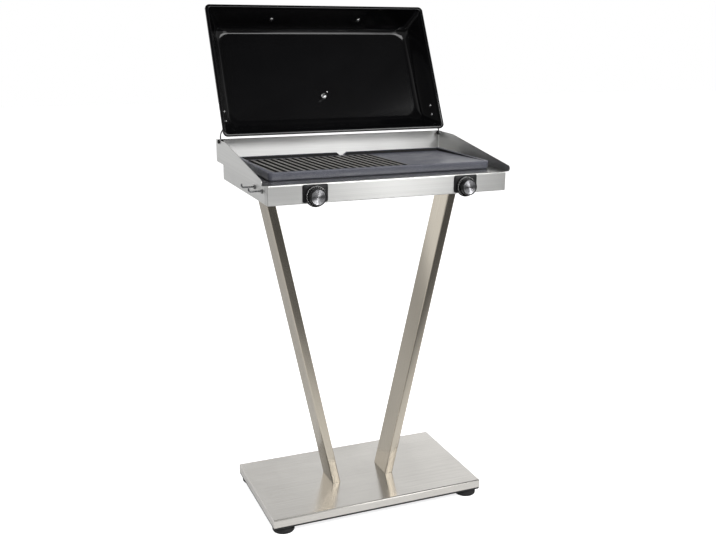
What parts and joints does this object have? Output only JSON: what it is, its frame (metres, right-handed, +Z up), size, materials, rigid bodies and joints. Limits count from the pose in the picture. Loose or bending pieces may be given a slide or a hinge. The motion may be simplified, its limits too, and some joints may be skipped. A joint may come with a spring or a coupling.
{
  "type": "electric grill",
  "caption": "Electric patio grill on a V-shaped stand: cast plate, ribbed and flat, splash shields, hinged enamel lid, thermostat knobs, grease drawer and square base.",
  "frame": {"origin": "on the floor, under the middle of the whole object's box with the lid open", "axes": "+Z up, -Y towards the cook, +X to the cook's right"},
  "size_m": [0.6482, 0.5752, 1.265],
  "materials": {
    "brushed_stainless": "brushed along the sheet, satin",
    "black_enamel": "gloss black vitreous enamel on pressed steel",
    "cast_plate": "cast aluminium under a dark blue-grey non-stick coating",
    "black_plastic": "moulded heat-proof plastic, satin black",
    "black_rubber": "moulded rubber, matt black",
    "spun_aluminium": "turned in rings, bright",
    "plated_steel": "bright nickel plate",
    "galvanised_steel": "dull zinc grey",
    "black_steel": "satin black",
    "clear_glass": "clear flat glass"
  },
  "bodies": {
    "stand": {"base_tray": "brushed_stainless", "base_stiffener": "galvanised_steel", "base_cover": "black_steel", "foot_front_left": "black_rubber", "foot_front_right": "black_rubber", "foot_rear_left": "black_rubber", "foot_rear_right": "black_rubber", "leg_left": "brushed_stainless", "leg_right": "brushed_stainless", "leg_head_left": "galvanised_steel", "leg_head_right": "galvanised_steel", "casing": "brushed_stainless", "control_panel": "brushed_stainless", "cooking_tray": "brushed_stainless", "heat_well": "galvanised_steel", "side_shield_left": "brushed_stainless", "side_shield_right": "brushed_stainless", "back_shield": "brushed_stainless", "heating_element_left": "black_steel", "heating_element_right": "black_steel", "drawer_runner_left": "galvanised_steel", "drawer_runner_right": "galvanised_steel", "bezel_left": "black_plastic", "bezel_right": "black_plastic", "thermostat_left": "galvanised_steel", "thermostat_right": "galvanised_steel", "hinge_pin_left": "black_steel", "hinge_pin_right": "black_steel", "hinge_washer_left": "plated_steel", "hinge_washer_right": "plated_steel", "hook_plate_front": "plated_steel", "hook_plate_rear": "plated_steel", "hook_front": "plated_steel", "hook_rear": "plated_steel", "cable_gland": "black_plastic", "terminal_block": "black_plastic"},
    "lid": {"lid_pan": "black_enamel", "lid_handle": "black_plastic", "handle_foot_left": "black_plastic", "handle_foot_right": "black_plastic", "gauge_case": "plated_steel", "gauge_glass": "clear_glass", "gauge_stem": "plated_steel", "gauge_nut": "plated_steel", "hinge_wire_left": "plated_steel", "hinge_wire_right": "plated_steel", "wire_clamp_left": "galvanised_steel", "wire_clamp_right": "galvanised_steel"},
    "plate": {"grill_plate": "cast_plate"},
    "drawer": {"grease_drawer": "brushed_stainless", "drawer_pull": "black_plastic"},
    "knob_unit_left": {"knob_left": "black_plastic", "knob_cap_left": "spun_aluminium", "shaft_left": "plated_steel"},
    "knob_unit_right": {"knob_right": "black_plastic", "knob_cap_right": "spun_aluminium", "shaft_right": "plated_steel"}
  },
  "joints": [
    {"name": "lid_hinge", "type": "hinge", "parent": "stand", "child": "lid", "pos_m": [0.00785, 0.10767, 0.9305], "axis": [1, 0, 0], "range_deg": [0, 118.8]},
    {"name": "plate_lift", "type": "slide", "parent": "stand", "child": "plate", "axis": [0, 0, 1], "range_m": [0, 0.02]},
    {"name": "drawer_slide", "type": "slide", "parent": "stand", "child": "drawer", "axis": [0, 1, 0], "range_m": [0, 0.085]},
    {"name": "knob_turn_left", "type": "hinge", "parent": "stand", "child": "knob_unit_left", "pos_m": [-0.18115, -0.26603, 0.8495], "axis": [0, 1, 0], "range_deg": [0, 270]},
    {"name": "knob_turn_right", "type": "hinge", "parent": "stand", "child": "knob_unit_right", "pos_m": [0.19685, -0.26603, 0.8495], "axis": [0, 1, 0], "range_deg": [0, 270]}
  ]
}
